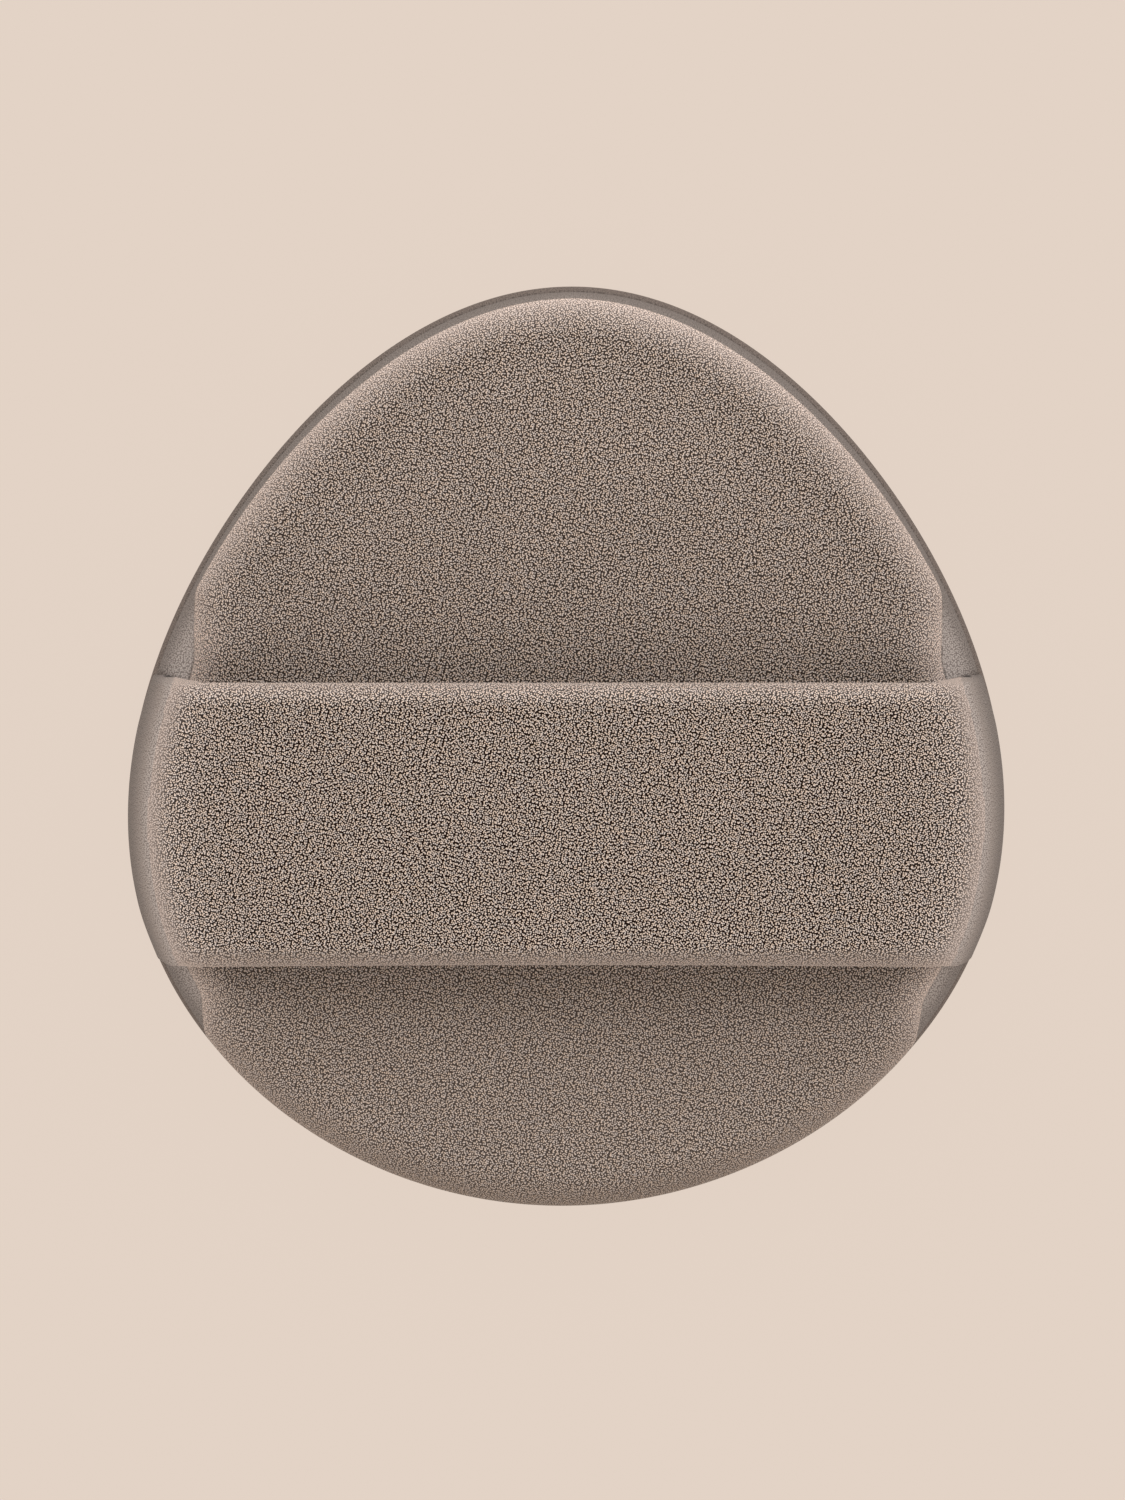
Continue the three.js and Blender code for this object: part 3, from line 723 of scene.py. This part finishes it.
def makeLayers():
    bodies, rings = {}, layers["rings"]

    def add(name, upper, lower):
        bodies[name] = closedBody(coarseGrid, name, upper, lower)

    under = layers["faceSkin"] + layers["gap"]
    add("faceBarrierFilm", faceSurface(coarseGrid, under + layers["barrierFilm"], rings),
        faceSurface(coarseGrid, under, rings))
    core = under + layers["barrierFilm"] + layers["gap"]
    flat, edge = faceSurface(coarseGrid, core, rings)
    add("faceSponge", (disc(coarseGrid, level(core + facePad["rimCurl"]), level(faceTop)), []), (flat, edge[:-1]))
    cut = lambda t: between((webInset["tab"], webInset["rim"]), smooth(pastStrap(t), *webInset["tabSpan"]))
    webLow, webHigh = ((disc(coarseGrid, cut, level(corner.z)), []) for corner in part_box("core_bond_web"))
    add("coreBondWeb", webHigh, webLow)
    under = layers["backSkin"] + layers["gap"]
    sides = []
    for depth in (under, under + layers["backFilm"]):
        crown, shoulder = backSurface(coarseGrid, depth, rings)
        sides.append((crown, shoulder + [footRing(coarseGrid, depth)]))
    add("backBondFilm", *sides)
    core = under + layers["backFilm"] + layers["gap"]
    base = disc(coarseGrid, lambda t: backSide(t) + core, level(backFoot))
    add("backSponge", backSurface(coarseGrid, core, rings), (base, []))
    return bodies


padLayers = makeLayers()
for name, node, slot, material in (
    ("faceBarrierFilm", "face_barrier_film", "film", clearFilm),
    ("faceSponge", "face_sponge", "face_foam", softSponge),
    ("coreBondWeb", "core_bond_web", "hot_melt", hotMelt),
    ("backBondFilm", "back_bond_film", "film", clearFilm),
    ("backSponge", "back_sponge", "back_foam", firmSponge),
):
    layer = padLayers[name]
    layer.data.materials.append(material)
    leanOver(layer)
    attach(layer, "pad")
    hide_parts(node)
print("inner layers made", len(padLayers))

# Strap
strap = {
    "skin": 0.75 * mm, "sponge": 1.1 * mm, "lining": 0.6 * mm, "hem": 3 * mm,
    "shoulder": 3.0 * mm, "lean": 11.2,  # radius of the bend; the flank's lean at its top, degrees
    "heel": 1.8 * mm, "heelThickness": 1.2 * mm, "tabReach": 6 * mm, "tabThickness": 0.5 * mm,
    "land": 0.3 * mm,  # level top from the bend to the span
    "flankSquare": 1.0,  # the flank's long edges: 0 round, 1 square
    "arch": 0.6 * mm, "neck": 0.007, "neckShift": 0.1 * mm,  # stretched, so a little narrower in the middle
    "tuck": 0.12 * mm, "tuckReach": 4 * mm,  # the flank's long edges are pulled in a little
    "tabSteps": 6, "bendSteps": 24, "flankSteps": 16, "spanSteps": 120,
    "hemSteps": 3, "edgeSteps": 9, "acrossSteps": 44,
    "spongeTurn": 81, "spongeSteps": 6,  # degrees round the sponge's edge
    "lump": 8 * mm, "lumpHeight": 0.08 * mm, "lumpStart": 1 * mm,  # from this far under the top
}
strapLook = {
    "ridge": 1.7 * mm, "ridgeLight": 0.6, "ridgeFade": 1.7 * mm,  # where the smooth flank meets the napped top; a painted highlight along it fades inwards
    "flankNap": 0.2, "napSpan": (-0.3 * mm, 1.9 * mm),  # nap on the flank, and how it grows past the ridge
    # painted shading on the flank: dark at the seam, lighter up to the ridge
    "flankTone": (0.76, 1.48), "flankStart": 0.1 * mm,
    "lip": (0.91 * mm, 1.69 * mm), "lipLight": 0.31, "lipStart": 3 * mm,  # turned edges: painted highlight on the tip's side
    "lipNap": 0.65,  # and flatter nap on the heel's side
    "slitIn": (0.85 * mm, 1.05 * mm), "slitOut": (2.0 * mm, 2.5 * mm),  # edges painted dark as shade beside the pad, between these
    "slitTop": (1.2 * mm, 3.2 * mm), "slitEdge": 0.1 * mm, "slitFacing": (0.8, 0.95), "slitShade": 0.9,
}
strapThickness = 2 * strap["skin"] + strap["sponge"] + 2 * layers["gap"]
strapTop = strapHigh.z - strap["arch"]
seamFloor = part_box("strap_end_left")[0].z
leanTurn = radians(strap["lean"])
flankLow = seamFloor + strap["heel"]
flankHigh = strapTop - strap["shoulder"] * (1 - sin(leanTurn))
flankInset = (flankHigh - flankLow) * tan(leanTurn) / 2
legInset = flankInset + strap["shoulder"] * cos(leanTurn)


def strapStations():  # outer face from tab to top: inset, height, turn of the way in, thickness, squareness
    s = strap
    quarter, square = pi / 2, s["flankSquare"]
    heel, shoulder = s["heel"], s["shoulder"]
    steps = lambda count: np.arange(count + 1) / count
    stations = [(between((s["tabReach"], heel), share), seamFloor, quarter, s["tabThickness"], square)
                for share in steps(s["tabSteps"])[:-1]]
    for share in steps(s["bendSteps"]):
        turn = quarter * (1 - share)
        thickness = between((s["tabThickness"], s["heelThickness"]), share)
        stations.append((heel * (1 - cos(turn)), flankLow - heel * sin(turn), turn, thickness, square))
    for share in steps(s["flankSteps"])[1:-1]:
        thickness = between((s["heelThickness"], strapThickness), share)
        stations.append((flankInset * share ** 2, between((flankLow, flankHigh), share), -leanTurn * share,
                         thickness, square))
    for share in steps(s["bendSteps"]):
        turn = -between((leanTurn, quarter), share)
        stations.append((legInset - shoulder * cos(turn), strapTop - shoulder * (1 + sin(turn)), turn,
                         strapThickness, square * (1 - share) ** 2))
    return stations


def strapSheet(contour):  # carries a contour, y and depth for a squareness, from tab over span to tab
    s = strap
    ends = []
    for inset, height, turn, thickness, square in strapStations():
        ys, depths = contour(square)
        depths = depths * thickness / strapThickness
        tuck = s["tuck"] * smooth(np.abs(ys), strapHalf - s["tuckReach"], strapHalf)
        x = halfWidthAt(strapCentre + ys) - inset - tuck - depths * cos(turn)
        ends.append(np.column_stack([x, strapCentre + ys, height + depths * sin(turn)]))
    ys, depths = contour(0)
    reach = halfWidthAt(strapCentre + ys) - legInset - s["land"]
    span = []
    for share in np.linspace(-1, 1, s["spanSteps"] + 1):
        middle = 1 - share ** 2
        places = strapCentre + ys * (1 - s["neck"] * middle) + s["neckShift"] * middle
        span.append(np.column_stack([share * reach, places, strapTop + s["arch"] * middle - depths]))
    return np.array([end * [-1, 1, 1] for end in ends] + span + ends[::-1])


def skinContour(depth):  # from hem to hem over the top, at a depth inside the skin's face
    edge = strapThickness / 2
    flat = strapHalf - edge
    radius = edge - depth

    def contour(square):
        share = np.linspace(0, 1, 2 * strap["edgeSteps"] + 1)
        roundOut, roundDown = np.sin(share * pi), np.cos(share * pi)
        path = share * 4
        squareOut = np.clip(np.minimum(path, 4 - path), 0, 1)
        squareDown = np.clip(2 - path, -1, 1)
        out = radius * (roundOut + (squareOut - roundOut) * square)
        down = edge + radius * (roundDown + (squareDown - roundDown) * square)
        hem = np.linspace(strapHalf - strap["hem"], flat, strap["hemSteps"] + 1)[:-1]
        leftY = np.concatenate([-hem, -flat - out])
        leftDepth = np.concatenate([np.full(len(hem), strapThickness - depth), down])
        across = np.linspace(-flat, flat, strap["acrossSteps"] + 1)[1:-1]
        ys = np.concatenate([leftY, across, -leftY[::-1]])
        return ys, np.concatenate([leftDepth, np.full(len(across), depth), leftDepth[::-1]])

    return contour


def thickSheet(name, outer, inner):  # closed body between two sheets of rows and columns
    rows, columns = outer.shape[:2]
    points = np.concatenate([outer.reshape(-1, 3), inner.reshape(-1, 3)])
    top = np.arange(rows * columns).reshape(rows, columns)
    under = top + rows * columns
    faces = np.concatenate([gridCells(top), gridCells(under)[:, ::-1], bandFaces(gridLoop(top), gridLoop(under))])
    return meshObject(name, points, faces)


def laidOut(sheet):  # where rows and columns lie in the flat cloth, from its middle
    lengths = []
    for axis in (0, 1):
        steps = np.linalg.norm(np.diff(sheet, axis=axis), axis=-1)
        far = np.insert(steps.cumsum(axis=axis), 0, 0, axis=axis)
        lengths.append(far - far.take([far.shape[axis] // 2], axis=axis))
    return np.stack(lengths + [np.zeros(sheet.shape[:2])], axis=-1).reshape(-1, 3)


def blendStrap(piece):  # bakes the piece's placement into its mesh
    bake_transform(piece)


def makeStrapSkin():
    s = strapLook
    outer = strapSheet(skinContour(0))
    skin = thickSheet("strapSkin", outer, strapSheet(skinContour(strap["skin"])))
    points, normals = pointsOf(skin), normalsOf(skin)
    inset = insetOf(points)
    fromRidge = inset - s["ridge"]
    nap = napSpeckle(normals) * between((s["flankNap"], 1), smooth(fromRidge, *s["napSpan"]))
    fromTip, fromHeel = (strapHalf - side * (points[:, 1] - strapCentre) for side in (1, -1))
    tipLip, heelLip = (1 - smooth(far, *s["lip"]) for far in (fromTip, fromHeel))
    nap *= 1 - (1 - s["lipNap"]) * heelLip
    # painted highlights on edges, along the ridge and on the tip's lip
    glow = paintedEdgeLight(normals, napLook["strapLight"])
    glow += s["ridgeLight"] * np.exp(-np.clip(fromRidge, 0, None) / s["ridgeFade"])
    glow += s["lipLight"] * tipLip * smooth(fromRidge, 0, s["lipStart"])
    # painted shade in the slit beside the pad, and painted flank shading
    inSlit = smooth(inset, *s["slitIn"]) * (1 - smooth(inset, *s["slitOut"]))
    inSlit *= 1 - smooth(points[:, 2] - backBulge, *s["slitTop"])
    inSlit *= (np.minimum(fromTip, fromHeel) < s["slitEdge"]) * smooth(np.abs(normals[:, 1]), *s["slitFacing"])
    tone = between(s["flankTone"], smooth(inset, s["flankStart"], s["ridge"])) * (1 - s["slitShade"] * inSlit)
    addPointValues(skin, nap=nap, glow=glow, tone=tone, cloth=np.tile(laidOut(outer), (2, 1)))
    outside = np.arange(len(points)) < len(points) // 2
    free = smooth(points[:, 2], strapTop - strap["lumpStart"], strapTop) * outside
    lift = unevenness(points, strap["lump"], 3) * strap["lumpHeight"]
    smoothFace = [fromRidge[list(face.vertices)].mean() < 0 for face in skin.data.polygons]
    return finishSkin(skin, points + normals * (lift * free)[:, None], smoothFace)


strapSkin = makeStrapSkin()
leanOver(strapSkin)
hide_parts("strap_skin", "strap_end_left", "strap_end_right")
blendStrap(strapSkin)


def makeStrapSponge():
    depth = strap["skin"] + layers["gap"]
    flat = strapHalf - strapThickness / 2
    radius = strapThickness / 2 - depth
    turns = np.linspace(0, radians(strap["spongeTurn"]), strap["spongeSteps"])
    out, drop = flat + radius * np.sin(turns), depth + radius * (1 - np.cos(turns))
    across = np.linspace(-flat, flat, strap["acrossSteps"] + 1)[1:-1]
    ys = np.concatenate([-out[::-1], across, out])
    depths = np.concatenate([drop[::-1], np.full(len(across), depth), drop])
    return thickSheet("strapSponge", strapSheet(lambda square: (ys, depths)),
                      strapSheet(lambda square: (ys, strapThickness - depths)))


strapSponge = makeStrapSponge()
strapSponge.data.materials.append(firmSponge)
leanOver(strapSponge)
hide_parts("strap_sponge")
blendStrap(strapSponge)


def makeStrapLining():
    half = strapHalf - strap["hem"] - layers["gap"]
    ys = np.linspace(-half, half, strap["acrossSteps"] + 1)
    sheets = [strapSheet(lambda square, d=d: (ys, np.full(len(ys), d)))
              for d in (strapThickness - strap["lining"], strapThickness)]
    middle = (sheets[0] + sheets[1])[:, len(ys) // 2] / 2
    length = np.linalg.norm(np.diff(middle, axis=0), axis=1).sum()
    lining = thickSheet("strapLining", *sheets)
    addPointValues(lining, cloth=np.tile(laidOut(sheets[1]), (2, 1)))
    return lining, (2 * half, length)


strapLining, liningCut = makeStrapLining()
strapLining.data.materials.append(tape)
leanOver(strapLining)
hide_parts("strap_lining")
blendStrap(strapLining)
print("strap made, lining cut", [round(v / mm, 1) for v in liningCut])

# Rim seam, a crimped band along the outline between the strap's ends
rimSeam = {
    "inset": 0.5 * mm, "clear": 0.3 * mm, "steps": 259,
    "crimpHeight": 0.7,  # share of the band's thickness
    "lengths": {"Width": 2.5 * mm, "Thickness": 0.5 * mm,  # inputs of the tree
                "Crimp Pitch": 0.9 * mm, "Crimp Length": 0.5 * mm, "Crimp Stand": 0.1 * mm},
}


def crimpedBandTree():
    tree = bpy.data.node_groups.new("crimpedBand", "GeometryNodeTree")
    for name in ("Geometry", *rimSeam["lengths"], "Material"):
        kind = "Float" if name in rimSeam["lengths"] else name
        tree.interface.new_socket(name, in_out="INPUT", socket_type="NodeSocket" + kind)
    tree.interface.new_socket("Geometry", in_out="OUTPUT", socket_type="NodeSocketGeometry")
    given = addNode(tree, "NodeGroupInput").outputs
    path = nodeOut(tree, "GeometryNodeMeshToCurve", Mesh=given["Geometry"])
    section = nodeOut(tree, "GeometryNodeCurvePrimitiveQuadrilateral", Width=given["Width"], Height=given["Thickness"])
    band = nodeOut(tree, "GeometryNodeCurveToMesh", Curve=path, Profile_Curve=section, Fill_Caps=True)
    stops = nodeOut(tree, "GeometryNodeResampleCurve", {"mode": "LENGTH"}, Curve=path, Length=given["Crimp Pitch"])
    reach = calculate(tree, "ADD", given["Width"], calculate(tree, "MULTIPLY", given["Crimp Stand"], 2.0))
    height = calculate(tree, "MULTIPLY", given["Thickness"], rimSeam["crimpHeight"])
    size = nodeOut(tree, "ShaderNodeCombineXYZ", X=given["Crimp Length"], Y=reach, Z=height)
    bar = nodeOut(tree, "GeometryNodeMeshCube", Size=size)
    turn = nodeOut(tree, "FunctionNodeAlignRotationToVector", {"axis": "X", "pivot_axis": "Z"},
                   Vector=nodeOut(tree, "GeometryNodeInputTangent"))
    crimps = nodeOut(tree, "GeometryNodeInstanceOnPoints", Points=stops, Instance=bar, Rotation=turn)
    joined = addNode(tree, "GeometryNodeJoinGeometry")
    for part in (band, crimps):
        tree.links.new(part, joined.inputs[0])
    real = nodeOut(tree, "GeometryNodeRealizeInstances", Geometry=joined.outputs[0])
    dressed = nodeOut(tree, "GeometryNodeSetMaterial", Geometry=real, Material=given["Material"])
    addNode(tree, "NodeGroupOutput", Geometry=dressed)
    return tree


def growTree(holder, tree, inputs):  # runs a tree on an object and keeps the mesh that it makes
    modifier = holder.modifiers.new(tree.name, "NODES")
    modifier.node_group = tree
    for item in tree.interface.items_tree:
        if item.in_out == "INPUT" and item.name in inputs:
            modifier[item.identifier] = inputs[item.name]
    bpy.context.view_layer.update()
    ready = holder.evaluated_get(bpy.context.evaluated_depsgraph_get())
    mesh = bpy.data.meshes.new_from_object(ready)
    holder.modifiers.remove(modifier)
    mesh.name = holder.name
    holder.data = mesh
    return holder


def makeRimSeam(name, sign, tree):  # sign 1 is the stretch round the tip, -1 round the heel
    s = rimSeam
    reach = strapCentre + sign * (strapHalf + s["clear"])
    start = asin(reach / halfLength)
    ends = (start, pi - start) if sign > 0 else (pi - start, 2 * pi + start)
    t = np.linspace(*ends, s["steps"] + 1)
    lengths = s["lengths"]
    path = ring(t, level(s["inset"] + lengths["Width"] / 2), seamFloor + lengths["Thickness"] / 2)
    seam = meshObject(name, path, edges=[(k, k + 1) for k in range(s["steps"])])
    return growTree(seam, tree, {**lengths, "Material": hotMelt})


crimpedBand = crimpedBandTree()
for name, sign, node in (("rimSeamTip", 1, "rim_seam_tip"), ("rimSeamHeel", -1, "rim_seam_heel")):
    seam = makeRimSeam(name, sign, crimpedBand)
    leanOver(seam)
    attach(seam, "pad")
    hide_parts(node)
    print("rim seam made", name, len(seam.data.polygons))

# Floor, light and camera
studio = {
    "floor": "#e3d3c6", "floorSize": 3.0, "floorDrop": 0.02 * mm,
    "floorOwnLight": 0.97,  # share of the floor's colour that the camera sees without shadow
    "worldStrength": 0.82, "worldColour": "#fffbf8",  # the room is a little warm, from the paper
    "keyStrength": 0.31, "keyColour": "#edf6ff", "keyDistance": 1.2, "keySize": 0.9,
    "keyElevation": 50, "keyAzimuth": 15,  # from past the tip, a little right
    "cameraTilt": 3.0, "cameraDistance": 1.6, "sensor": 36, "clip": (0.01, 20),
    "frameHeight": 110.85 * mm, "aimHeight": 8 * mm,
    "aimX": -0.32 * mm, "aimY": -0.14 * mm,  # where the frame's middle falls on the puff
}


def makeFloor():
    s = studio
    half = s["floorSize"] / 2
    square = ((-half, -half), (half, -half), (half, half), (-half, half))
    floor = meshObject("floor", np.array([(x, y, -s["floorDrop"]) for x, y in square]), [[0, 1, 2, 3]])
    material, tree, shader = newMaterial("paperFloor")
    fillSockets(tree, shader, Base_Color=s["floor"], Roughness=1.0, Specular_IOR_Level=0.0)
    rays = addNode(tree, "ShaderNodeLightPath").outputs
    seen = calculate(tree, "MAXIMUM", rays["Is Camera Ray"], rays["Is Glossy Ray"])
    seen = calculate(tree, "MAXIMUM", seen, rays["Is Transmission Ray"])
    share = calculate(tree, "MULTIPLY", seen, s["floorOwnLight"])
    glow = nodeOut(tree, "ShaderNodeEmission", Color=s["floor"], Strength=1.0)
    mixed = nodeOut(tree, "ShaderNodeMixShader", _0=share, _1=shader.outputs[0], _2=glow)
    fillSockets(tree, tree.nodes["Material Output"], Surface=mixed)
    floor.data.materials.append(material)


def makeLight():
    s = studio
    world = bpy.data.worlds.new("softRoom")
    scene.world = world
    world.use_nodes = True
    room = world.node_tree
    fillSockets(room, room.nodes["Background"], Color=s["worldColour"], Strength=s["worldStrength"])
    data = bpy.data.lights.new("softKey", "AREA")
    data.size = s["keySize"]
    data.color = linear(s["keyColour"])[:3]
    data.energy = s["keyStrength"] * pi ** 2 * s["keyDistance"] ** 2  # watts for that light at the puff
    key = addObject("softKey", data)
    rise, turn = radians(s["keyElevation"]), radians(s["keyAzimuth"])
    out = cos(rise)
    key.location = s["keyDistance"] * Vector((out * sin(turn), out * cos(turn), sin(rise)))
    key.rotation_euler = (-key.location).to_track_quat("-Z", "Y").to_euler()


def makeCamera():
    s = studio
    data = bpy.data.cameras.new("camera")
    data.sensor_width = s["sensor"]
    data.lens = s["sensor"] * s["cameraDistance"] / s["frameHeight"]
    data.clip_start, data.clip_end = s["clip"]
    camera = addObject("camera", data)
    tilt = radians(s["cameraTilt"])
    aim = Vector((s["aimX"], s["aimY"], s["aimHeight"]))
    camera.location = aim + s["cameraDistance"] * Vector((0, sin(tilt), cos(tilt)))
    camera.rotation_euler = (-tilt, 0, 0)  # looks down, tip up in the frame
    scene.camera = camera


makeFloor()
makeLight()
makeCamera()
scene.view_settings.view_transform = "Standard"
